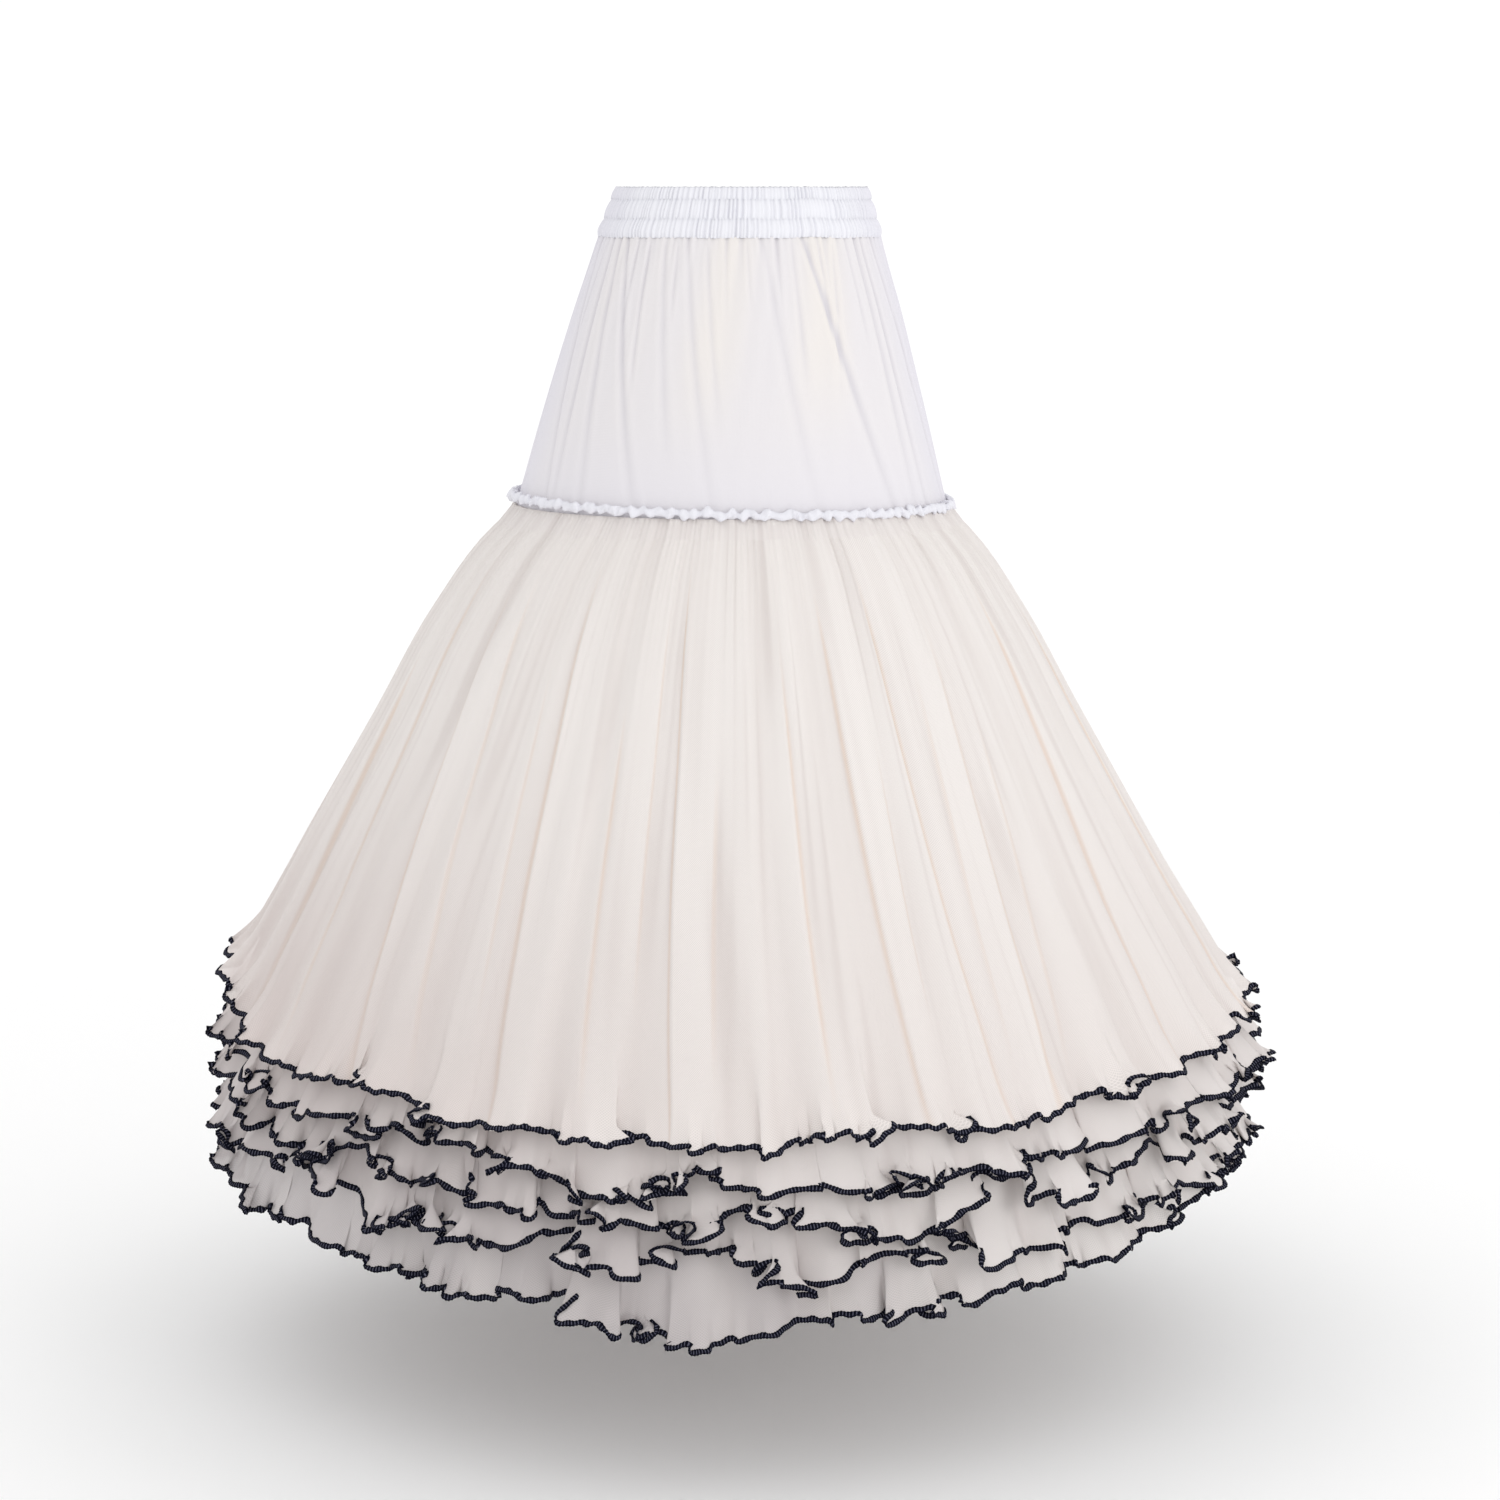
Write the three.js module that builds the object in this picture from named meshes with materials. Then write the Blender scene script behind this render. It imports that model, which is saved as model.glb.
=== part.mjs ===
// A long gathered tulle petticoat, filled out as when it is worn: an elasticated waistband sewn in three
// channels, a yoke of soft white cloth cut as a front and a back, a narrow ruffle of serged seam allowance,
// and five long layers of tulle gathered into that seam, each layer longer than the one over it.
// Millimetres, +Z up, front towards -Y. The origin is the middle of the waist opening, level with its top edge.
import * as THREE from "three";

// Driving dimensions
const BAND_HEIGHT = 47;
const BAND_THICKNESS = 3;
const BAND_PUFF = 2.6; // how far each channel stands out between its rows of stitching
const BAND_GATHERS = 60;
const BAND_GATHER_DEPTH = 1.6;
const YOKE_BOTTOM = 306;
const YOKE_THICKNESS = 1.5;
const YOKE_FOLD_DEPTH = 2.4;
const TULLE_THICKNESS = 1.5;
const GATHER_DEPTH = 1.8; // of the tulle's folds where they leave the seam
const FOLD_DEPTH = 13; // of the same folds near the hems
const LAYER_STEP_AT_SEAM = 2.3; // from one layer's face to the next
const LAYER_STEP_AT_HEM = 11;
const HEM_FLARE = 8; // how far the last stretch of each layer turns out, more on the ridges of its folds
const HEM_FLARE_RIDGES = 0.6;
const HEM_FLARE_LENGTH = 30;
const HEM_WAVE = 4.5; // how unevenly each hem hangs
const RUFFLE_WAVES = 60;
const RUFFLE_HALF_HEIGHT = 5.4;
const RUFFLE_THICKNESS = 4.4;
const RUFFLE_DROP = 299.7; // of its middle
const RUFFLE_WAVE = 1.7;
const RUFFLE_LOP = 0.8; // how far it rises and falls
const SEAM_GAP = 0.3;

// The garment's outline below the waist: half its width, its depth as a share of its width, and how far
// its middle hangs to one side.
const OUTLINE = [
  { drop: 0, halfWidth: 125, depthShare: 0.78, lean: 0 },
  { drop: 47, halfWidth: 137, depthShare: 0.8, lean: -2 },
  { drop: 110, halfWidth: 157, depthShare: 0.82, lean: -4 },
  { drop: 200, halfWidth: 183, depthShare: 0.85, lean: -7 },
  { drop: 306, halfWidth: 211, depthShare: 0.89, lean: -10 },
  { drop: 330, halfWidth: 236, depthShare: 0.9, lean: -11 },
  { drop: 400, halfWidth: 287, depthShare: 0.91, lean: -13 },
  { drop: 500, halfWidth: 344, depthShare: 0.92, lean: -14 },
  { drop: 640, halfWidth: 424, depthShare: 0.93, lean: -15 },
  { drop: 780, halfWidth: 500, depthShare: 0.94, lean: -11 },
  { drop: 850, halfWidth: 520, depthShare: 0.94, lean: -7 },
  { drop: 1000, halfWidth: 546, depthShare: 0.94, lean: -3 },
];

// Rows of the waistband's outside: channels stand out between the stitching.
const BAND_ROWS = [
  { drop: 0, puff: 0.25 },
  { drop: 6, puff: 0.8 },
  { drop: 12, puff: 0 },
  { drop: 21, puff: 1 },
  { drop: 30, puff: 0 },
  { drop: 38, puff: 1 },
  { drop: BAND_HEIGHT, puff: 0.1 },
];

const YOKE_ROWS = [BAND_HEIGHT + SEAM_GAP, 110, 200, YOKE_BOTTOM];

// The layers from the outside in. hemDrop is where the hem hangs in front and behind, and sideRise is how much
// higher it is at the sides. liftAngle, liftSpread and lift raise one more stretch of it, and shift is how far
// to one side the hem hangs.
const TULLE_TOP = YOKE_BOTTOM + SEAM_GAP;
const OUTER_LAYER_ROWS = [TULLE_TOP, 330, 400, 500, 640];
const INNER_LAYER_ROWS = [TULLE_TOP, 400];
const LAYERS = [
  { name: "tulle_layer_1", hemDrop: 810, sideRise: 20, liftAngle: -98, liftSpread: 14, lift: 40, shift: 0 },
  { name: "tulle_layer_2", hemDrop: 846, sideRise: 0, liftAngle: -80, liftSpread: 20, lift: 10, shift: 4 },
  { name: "tulle_layer_3", hemDrop: 882, sideRise: 0, liftAngle: -84, liftSpread: 22, lift: 10, shift: 2 },
  { name: "tulle_layer_4", hemDrop: 922, sideRise: 4, liftAngle: -84, liftSpread: 20, lift: 14, shift: -6 },
  { name: "tulle_layer_5", hemDrop: 983, sideRise: 34, liftAngle: 84, liftSpread: 26, lift: 6, shift: -6 },
];

// The tulle's folds over a quarter of the way round, which repeat: width and depth are shares of an even
// fold's, and roll leans the ridge to one side.
const TULLE_FOLDS = [
  { width: 0.8, depth: 0.6, roll: 0.2 },
  { width: 1.25, depth: 1, roll: -0.25 },
  { width: 0.75, depth: 0.5, roll: 0.1 },
  { width: 1.1, depth: 0.85, roll: 0.3 },
  { width: 0.7, depth: 0.45, roll: -0.15 },
  { width: 1.35, depth: 1, roll: 0.15 },
  { width: 0.9, depth: 0.7, roll: -0.3 },
  { width: 1.15, depth: 0.9, roll: 0.05 },
  { width: 0.7, depth: 0.5, roll: 0.25 },
  { width: 1.3, depth: 0.95, roll: -0.1 },
  { width: 1, depth: 0.65, roll: 0.2 },
];

// The yoke's folds over one panel, from the wearer's right side seam to the left one.
const YOKE_FOLDS = [
  { width: 0.7, depth: 0.8, roll: 0.2 },
  { width: 0.75, depth: 0.9, roll: -0.2 },
  { width: 0.9, depth: 0.7, roll: 0.1 },
  { width: 1.1, depth: 1, roll: 0.25 },
  { width: 1.05, depth: 0.7, roll: -0.1 },
  { width: 1.1, depth: 0.6, roll: 0.15 },
  { width: 0.95, depth: 0.75, roll: 0.2 },
  { width: 1.3, depth: 0.45, roll: 0 },
  { width: 1.35, depth: 0.7, roll: -0.2 },
  { width: 1, depth: 0.55, roll: 0.1 },
  { width: 1.25, depth: 0.9, roll: -0.25 },
  { width: 0.9, depth: 0.7, roll: 0.15 },
  { width: 1, depth: 1, roll: -0.2 },
  { width: 0.8, depth: 0.8, roll: 0.1 },
  { width: 0.75, depth: 0.7, roll: -0.15 },
];

const SHOULDER_REACH = 0.16; // from a fold's middle to each of its shoulders, as a share of its width
const SHOULDER_LIFT = 0.7; // how high the shoulders stand, as a share of its depth
const ROLL_SHIFT = 0.08;

const DEGREE = Math.PI / 180;
const FULL_TURN = 2 * Math.PI;
const FRONT_START = -Math.PI / 2;

// The outline's columns at one drop below the waist, in between the table's rows.
function outlineAt(drop) {
  const lower = OUTLINE.findIndex((row) => row.drop >= drop);
  const below = OUTLINE[Math.max(lower, 1)];
  const above = OUTLINE[Math.max(lower, 1) - 1];
  const share = (drop - above.drop) / (below.drop - above.drop);
  const between = (column) => THREE.MathUtils.lerp(above[column], below[column], share);
  return {
    halfWidth: between("halfWidth"),
    depthShare: between("depthShare"),
    lean: between("lean"),
  };
}

// A point on the garment's outline, moved out by so much. Angle 0 is the middle of the front, and angles
// grow towards +X.
function outlinePoint(angle, drop, out) {
  const { halfWidth, depthShare, lean } = outlineAt(drop);
  const acrossRadius = halfWidth + out;
  const depthRadius = halfWidth * depthShare + out;
  return new THREE.Vector3(
    lean + acrossRadius * Math.sin(angle),
    -depthRadius * Math.cos(angle),
    -drop,
  );
}

// A slow wave of uneven height all the way round, between -1 and 1.
function unevenWave(angle, phase) {
  return Math.sin(13 * angle + 2 * phase) * Math.sin(5 * angle + phase);
}

// Angles and heights of a run of folds that fills one span: each has a sharp valley and two shoulders.
function foldRun(folds, start, span) {
  const whole = folds.reduce((sum, fold) => sum + fold.width, 0);
  const points = [];
  let angle = start;
  for (const { width, depth, roll } of folds) {
    const turn = (span * width) / whole;
    points.push({ angle, lift: -depth });
    for (const side of [-1, 1]) {
      const across = 0.5 + side * SHOULDER_REACH - ROLL_SHIFT * roll;
      points.push({ angle: angle + turn * across, lift: depth * (SHOULDER_LIFT + side * roll) });
    }
    angle += turn;
  }
  return points;
}

// Which way is out, kept level, at one place of a grid of points: rows go down and columns go round.
function outwardAt(rows, row, column, closed) {
  const count = rows[row].length;
  const at = (r, c) => {
    const line = rows[THREE.MathUtils.clamp(r, 0, rows.length - 1)];
    return closed ? line[(c + count) % count] : line[THREE.MathUtils.clamp(c, 0, count - 1)];
  };
  const round = at(row, column + 1).clone().sub(at(row, column - 1));
  const down = at(row + 1, column).clone().sub(at(row - 1, column));
  return down.cross(round).setZ(0).normalize();
}

// A closed body between outer and inner rows of points: a tube if closed, or else a panel with side edges.
function wallBetween(outer, inner, closed) {
  const count = outer[0].length;
  const faces = [];
  const face = (a, b, c, d) => faces.push(a, b, c, a, c, d); // always split from a to c, so walls stay even
  const steps = closed ? count : count - 1;
  const skin = (rows, facesIn) => {
    for (let row = 0; row + 1 < rows.length; row += 1) {
      for (let column = 0; column < steps; column += 1) {
        const next = (column + 1) % count;
        const [a, b, c, d] = [rows[row][column], rows[row + 1][column], rows[row + 1][next], rows[row][next]];
        if (facesIn) face(a, d, c, b);
        else face(a, b, c, d);
      }
    }
  };
  skin(outer, false);
  skin(inner, true);
  skin([inner[0], outer[0]], false);
  skin([outer.at(-1), inner.at(-1)], false);
  if (!closed) {
    sideEdge(outer.map((row) => row[0]), inner.map((row) => row[0]), face);
    sideEdge(inner.map((row) => row.at(-1)), outer.map((row) => row.at(-1)), face);
  }
  return new THREE.BufferGeometry().setFromPoints(faces);
}

// Fills a panel's side edge between its outer and inner columns of points, from the top down.
function sideEdge(left, right, face) {
  for (let row = 0; row + 1 < left.length; row += 1) {
    face(left[row], right[row], right[row + 1], left[row + 1]);
  }
}

// The rows of points on the inside of a wall of one thickness, each level with its outer point.
function insideOf(outer, thickness, closed) {
  return outer.map((line, row) =>
    line.map((point, column) =>
      point.clone().addScaledVector(outwardAt(outer, row, column, closed), -thickness),
    ),
  );
}

function cloth(color, roughness) {
  return new THREE.MeshStandardMaterial({ color, roughness, metalness: 0, side: THREE.DoubleSide });
}

const MATERIALS = {
  whiteCloth: cloth(0xf1eef1, 0.75),
  tulle: cloth(0xe9e1da, 0.85),
};

function namedMesh(name, geometry, material) {
  geometry.computeVertexNormals();
  const mesh = new THREE.Mesh(geometry, material);
  mesh.name = name;
  return mesh;
}

// Gathered cloth over elastic: puffed channels outside, plain inside.
function waistband() {
  const count = 2 * BAND_GATHERS;
  const angles = Array.from({ length: count }, (_, step) => (FULL_TURN * step) / count);
  const outer = BAND_ROWS.map(({ drop, puff }) =>
    angles.map((angle, step) => {
      const gather = step % 2 ? BAND_GATHER_DEPTH * (1 + puff) / 2 : 0;
      return outlinePoint(angle, drop, BAND_PUFF * (puff - 1) + gather);
    }),
  );
  const inner = [0, BAND_HEIGHT].map((drop) =>
    angles.map((angle) => outlinePoint(angle, drop, -BAND_PUFF - BAND_THICKNESS)),
  );
  return namedMesh("waistband", wallBetween(outer, inner, true), MATERIALS.whiteCloth);
}

// One half of the yoke, from side seam to side seam, gathered at the waist and easier at the bottom.
function yokePanel(name, start) {
  const edge = SEAM_GAP / 2 / outlineAt(BAND_HEIGHT).halfWidth;
  const run = foldRun(YOKE_FOLDS, start + edge, Math.PI - 2 * edge);
  run.push({ angle: start + Math.PI - edge, lift: run[0].lift });
  const outer = YOKE_ROWS.map((drop) =>
    run.map(({ angle, lift }) => outlinePoint(angle, drop, YOKE_FOLD_DEPTH * (lift - 1))),
  );
  const inner = insideOf(outer, YOKE_THICKNESS, false);
  return namedMesh(name, wallBetween(outer, inner, false), MATERIALS.whiteCloth);
}

// The serged seam allowance that stands out in small waves where the yoke meets the tulle.
function seamRuffle() {
  const count = 2 * RUFFLE_WAVES;
  const angles = Array.from({ length: count }, (_, step) => (FULL_TURN * step) / count);
  const line = (down, out) =>
    angles.map((angle, step) => {
      const wave = step % 2 ? RUFFLE_WAVE : 0;
      const lop = RUFFLE_LOP * unevenWave(angle, 0);
      return outlinePoint(angle, RUFFLE_DROP + down + lop, out + wave);
    });
  const clear = SEAM_GAP + RUFFLE_WAVE;
  const outer = [
    line(-RUFFLE_HALF_HEIGHT, clear + RUFFLE_THICKNESS * 0.4),
    line(0, clear + RUFFLE_THICKNESS),
    line(RUFFLE_HALF_HEIGHT, clear + RUFFLE_THICKNESS * 0.9),
  ];
  const inner = [line(-RUFFLE_HALF_HEIGHT, clear - RUFFLE_WAVE), line(RUFFLE_HALF_HEIGHT, clear - RUFFLE_WAVE)];
  return namedMesh("seam_ruffle", wallBetween(outer, inner, true), MATERIALS.whiteCloth);
}

// How much of the way from the seam to the hems one drop is, from 0 to 1 with soft ends.
function opened(drop) {
  return THREE.MathUtils.smoothstep(drop, TULLE_TOP, LAYERS[0].hemDrop);
}

// One layer of tulle: the same folds nest through all five layers and open out towards the hems.
function tulleLayer({ name, hemDrop, sideRise, liftAngle, liftSpread, lift, shift }, layer) {
  const quarters = [0, 1, 2, 3].flatMap((quarter) =>
    foldRun(TULLE_FOLDS, (quarter * FULL_TURN) / 4, FULL_TURN / 4),
  );
  const hemAt = (angle) => {
    const away = Math.cos(angle - liftAngle * DEGREE) - 1;
    const raised = lift * Math.exp(away / (1 - Math.cos(liftSpread * DEGREE)));
    return hemDrop - sideRise * Math.sin(angle) ** 2 - raised + HEM_WAVE * unevenWave(angle, layer);
  };
  const point = (fold, drop, flare) => {
    const step = THREE.MathUtils.lerp(LAYER_STEP_AT_SEAM, LAYER_STEP_AT_HEM, opened(drop));
    const depth = THREE.MathUtils.lerp(GATHER_DEPTH, FOLD_DEPTH, opened(drop));
    const place = outlinePoint(fold.angle, drop, depth * (fold.lift - 1) - layer * step + flare);
    return place.setX(place.x + shift * opened(drop));
  };
  const rows = layer ? INNER_LAYER_ROWS : OUTER_LAYER_ROWS;
  const outer = rows.map((drop) => quarters.map((fold) => point(fold, drop, 0)));
  outer.push(quarters.map((fold) => point(fold, hemAt(fold.angle) - HEM_FLARE_LENGTH, 0)));
  outer.push(
    quarters.map((fold) => point(fold, hemAt(fold.angle), HEM_FLARE * (1 + HEM_FLARE_RIDGES * fold.lift))),
  );
  const inner = insideOf(outer, TULLE_THICKNESS, true);
  return namedMesh(name, wallBetween(outer, inner, true), MATERIALS.tulle);
}

const petticoat = new THREE.Group();
petticoat.add(waistband());
petticoat.add(yokePanel("yoke_front", FRONT_START));
petticoat.add(yokePanel("yoke_back", FRONT_START + Math.PI));
petticoat.add(seamRuffle());
LAYERS.forEach((layer, index) => petticoat.add(tulleLayer(layer, index)));

export default petticoat;
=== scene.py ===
"""Dresses the plain solids of a long tulle petticoat: its gathered waistband, creased yoke, frilled seam,
five layers of tulle and their serged hems, with a camera, a floor and soft light. Metres, in the part's own
frame: +Z up, front towards -Y, and the waist opening's middle at the origin."""

import math

import bpy
import numpy as np
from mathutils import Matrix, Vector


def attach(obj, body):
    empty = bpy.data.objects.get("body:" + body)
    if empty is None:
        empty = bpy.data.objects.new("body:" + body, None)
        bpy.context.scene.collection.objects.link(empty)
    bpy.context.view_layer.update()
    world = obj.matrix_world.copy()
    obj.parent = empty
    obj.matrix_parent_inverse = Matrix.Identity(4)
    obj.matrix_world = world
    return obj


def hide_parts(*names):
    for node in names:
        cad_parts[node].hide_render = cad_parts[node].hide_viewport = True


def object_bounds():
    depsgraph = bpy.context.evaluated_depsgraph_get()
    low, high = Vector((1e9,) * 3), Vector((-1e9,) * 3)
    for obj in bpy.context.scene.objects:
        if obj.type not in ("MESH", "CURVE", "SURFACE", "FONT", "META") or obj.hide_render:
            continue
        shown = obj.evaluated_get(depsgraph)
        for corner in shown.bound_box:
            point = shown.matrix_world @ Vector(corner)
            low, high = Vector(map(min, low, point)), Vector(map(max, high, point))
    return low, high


bl_info = {
    "name": "Tulle petticoat",
    "version": (1, 0, 0),
    "blender": (4, 5, 0),
    "location": "3D View > Sidebar > Petticoat",
    "description": "Makes the cloth, tulle, frill and serged hems of a layered petticoat",
    "category": "Object",
}

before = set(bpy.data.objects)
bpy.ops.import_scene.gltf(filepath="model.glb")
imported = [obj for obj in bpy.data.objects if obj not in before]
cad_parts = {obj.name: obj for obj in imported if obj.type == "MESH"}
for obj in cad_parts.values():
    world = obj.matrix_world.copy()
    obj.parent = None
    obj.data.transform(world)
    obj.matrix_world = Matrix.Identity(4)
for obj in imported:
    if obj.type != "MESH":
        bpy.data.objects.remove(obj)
CAD_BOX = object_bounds()

BODY = "root"
TURN = 2 * math.pi
MM = 0.001
QUARTER = TURN / 4

# The outline below the waist: half its width, its depth as a share of that, and how far its middle leans to
# +X.
YOKE_OUTLINE = {
    "drop": (0, 0.047, 0.11, 0.2, 0.306),
    "half_width": (0.125, 0.137, 0.157, 0.183, 0.211),
    "depth_share": (0.78, 0.8, 0.82, 0.85, 0.89),
    "lean": (0, -0.002, -0.004, -0.007, -0.01),
}
TULLE_OUTLINE = {
    "drop": (0.306, 0.33, 0.4, 0.5, 0.64, 0.78, 0.85, 1.0),
    "half_width": (0.211, 0.236, 0.287, 0.344, 0.424, 0.5, 0.52, 0.546),
    "depth_share": (0.89, 0.9, 0.91, 0.92, 0.93, 0.94, 0.94, 0.94),
    "lean": (-0.01, -0.011, -0.013, -0.014, -0.015, -0.011, -0.007, -0.003),
}
BAND_BOTTOM = 0.047
YOKE_BOTTOM = 0.306
TULLE_TOP = 0.301

# The tulle's folds over a quarter of the way round, which repeat: width and depth as shares of an even
# fold's, and how far its ridge leans to one side.
TULLE_FOLDS = {
    "width": (0.8, 1.25, 0.75, 1.1, 0.7, 1.35, 0.9, 1.15, 0.7, 1.3, 1),
    "depth": (0.6, 1, 0.5, 0.85, 0.45, 1, 0.7, 0.9, 0.5, 0.95, 0.65),
    "roll": (0.2, -0.25, 0.1, 0.3, -0.15, 0.15, -0.3, 0.05, 0.25, -0.1, 0.2),
}

# The layers from the outside in: how low the hem hangs in millimetres at angles in degrees across the
# front, which the back mirrors, how far the whole layer is shifted to +X there, and how lively the hem's
# waves are. Then how much the layer takes of the hollow's painted shade colour, in the light and where it
# is dusky, and whether light shows through it.
LAYERS = (
    {
        "at": (-90, -80, -71, -62, -54, -40, -27, -9, 3, 12, 27, 40, 54, 71, 90),
        "hem": (742, 746, 758, 776, 791, 786, 804, 808, 815, 801, 809, 797, 794, 784, 779),
        "shift": 0, "lively": 0.7, "inner": 0, "inner_dusk": 0, "see_through": True,
    },
    {
        "at": (-90, -72, -62, -53, -43, -31, -22, -10, -5, 2, 12, 22, 30, 45, 57, 68, 90),
        "hem": (812, 808, 817, 828, 823, 822, 837, 861, 839, 850, 853, 847, 845, 837, 833, 828, 820),
        "shift": 0.004, "lively": 1.1, "inner": 0.28, "inner_dusk": 0.55, "see_through": False,
    },
    {
        "at": (-90, -74, -60, -48, -41, -37, -28, -19, -11, -5, 1, 8, 18, 26, 34, 46, 51, 65, 90),
        "hem": (848, 846, 858, 864, 848, 866, 866, 882, 876, 891, 871, 882, 900, 860, 882, 858, 872, 856,
                858),
        "shift": 0.002, "lively": 1.2, "inner": 0.28, "inner_dusk": 0.7, "see_through": False,
    },
    {
        "at": (-90, -73, -55, -44, -41, -32, -23, -16, -12, -4, 3, 8, 14, 21, 27, 35, 42, 65, 90),
        "hem": (898, 895, 884, 887, 909, 900, 914, 901, 926, 908, 921, 946, 916, 908, 930, 922, 914, 912,
                905),
        "shift": -0.006, "lively": 1.1, "inner": 0.28, "inner_dusk": 0.85, "see_through": False,
    },
    {
        "at": (-90, -73, -58, -49, -37, -27, -18, -12, 3, 7, 16, 28, 39, 50, 60, 71, 90),
        "hem": (938, 936, 938, 943, 953, 962, 960, 979, 985, 973, 971, 962, 957, 941, 931, 926, 924),
        "shift": -0.006, "lively": 1.0, "inner": 0.12, "inner_dusk": 1.0, "see_through": True,
    },
)

# Where a hem is bunched into tight loops, across the front: angle in degrees and half the width in
# millimetres.
TANGLES = (
    ((-40, 9), (-31, 5), (-11, 8), (13.5, 11), (23, 6), (43, 15), (77, 12)),
    ((-60, 10), (-41, 13), (-33, 28), (-23, 11), (-18, 12), (-7.5, 38), (17, 40), (29, 12), (51, 22),
     (66, 20),
     (78, 16)),
    ((-66, 14), (-46, 15), (-37, 18), (-30, 12), (-13, 9), (-4, 24), (3, 12), (12, 16), (20, 9), (40, 12),
     (56, 12),
     (63, 16), (80, 14)),
    ((-70, 12), (-52, 26), (-34, 30), (-28, 20), (-14, 14), (-5, 10), (4, 17), (17, 9), (24, 10), (45, 14),
     (61, 16),
     (79, 14)),
    ((-62, 5), (-34, 4), (-9, 8), (22, 6), (52, 6), (74, 8)),
)

# Where a hem is folded over itself, across the front: angle in degrees, and half the width and the reach of
# the fold in millimetres. A reach below 0 puts the fold's other side in front.
TUCKS = (
    ((-62, 8, -5), (-41, 10, 7), (-31, 8, -5), (-11, 11, 8), (3, 11, -7), (14, 9, 7), (44, 10, -7),
     (72, 10, 6)),
    ((-70, 12, 9), (-62, 10, 8), (-52, 12, -10), (-26, 10, 8), (-16, 15, 13), (-2, 12, -9), (8, 13, 11),
     (28, 13, 12), (38, 10, -8), (57, 10, 8), (72, 12, -10)),
    ((-74, 12, -9), (-60, 12, 9), (-46, 14, -12), (-39, 12, 11), (-27, 14, -12), (-20, 12, 9), (-8, 14, 12),
     (6, 12, -9), (20, 12, -11), (25, 16, 14), (30, 14, -12), (37, 14, 13), (50, 12, -10), (63, 12, 9)),
    ((-66, 12, -9), (-44, 17, 14), (-31, 12, 9), (-15, 14, -12), (-9, 12, 10), (7, 16, 13), (13, 14, -11),
     (19, 18, 15), (25, 14, -12), (35, 12, 9), (48, 12, -9), (60, 12, 9), (76, 12, -9)),
    ((-56, 8, 6), (-44, 9, -7), (-24, 9, 7), (-16, 11, -10), (-11, 12, 11), (-6, 10, -8), (10, 10, 8),
     (16, 13, -12),
     (21, 12, 10), (31, 9, -6), (48, 9, 6), (70, 9, -7)),
)

# Long creases that stand out in the outer layer, placed all the way round: angle at the seam and at
# the hem in degrees, the drops where it starts and ends, half its width at the hem and how deep it is.
TULLE_CREASES = {
    "at_seam": (-50, -44, -33, -28, -17, -11, -8, -1, 9, 17, 24, 27, 35, 41, 47, 60, -62, -71,
                79, 92, 103, 118, 127, 141, 156, 165, 178, -84, -96, -109, -121, -133, -146, -158, -169),
    "at_hem": (-42.2, -34.1, -26.7, -24, -14.7, -9.8, -5.6, -1.4, 10.5, 19.8, 22.4, 28.2, 30.6, 34.7, 37.6,
               54.3,
               -55, -66, 76, 88, 104, 115, 129, 138, 154, 168, 177, -82, -99, -107, -124, -131, -148, -156,
               -171),
    "start": (0.36, 0.34, 0.42, 0.33, 0.45, 0.36, 0.33, 0.5, 0.4, 0.35, 0.48, 0.34, 0.42, 0.38, 0.46, 0.35,
              0.33, 0.42,
              0.38, 0.33, 0.45, 0.35, 0.4, 0.33, 0.5, 0.36, 0.42, 0.35, 0.45, 0.33, 0.38, 0.48, 0.34, 0.4,
              0.36),
    "end": (0.86, 0.8, 0.74, 0.86, 0.8, 0.72, 0.86, 0.78, 0.8, 0.86, 0.74, 0.86, 0.78, 0.86, 0.8, 0.84, 0.8,
            0.86,
            0.86, 0.78, 0.84, 0.74, 0.86, 0.8, 0.84, 0.86, 0.76, 0.86, 0.8, 0.86, 0.74, 0.86, 0.8, 0.86,
            0.78),
    "half_width": (11, 8, 7, 10, 9, 6, 4, 7, 9, 8, 5, 8, 7, 9, 7, 10, 8, 11,
                   9, 7, 11, 8, 10, 7, 9, 11, 8, 10, 7, 9, 8, 11, 7, 9, 8),
    "depth": (5, 3.5, 2.5, 5.5, 4, 2.5, 5, 3, 4, 4.5, 2.5, 5, 3, 4.5, 3, 4.5, 3.5, 5,
              4, 3, 5, 3.5, 4.5, 3, 5, 4.5, 3, 4.5, 3.5, 5, 3, 4.5, 3, 5, 4),
}
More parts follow.
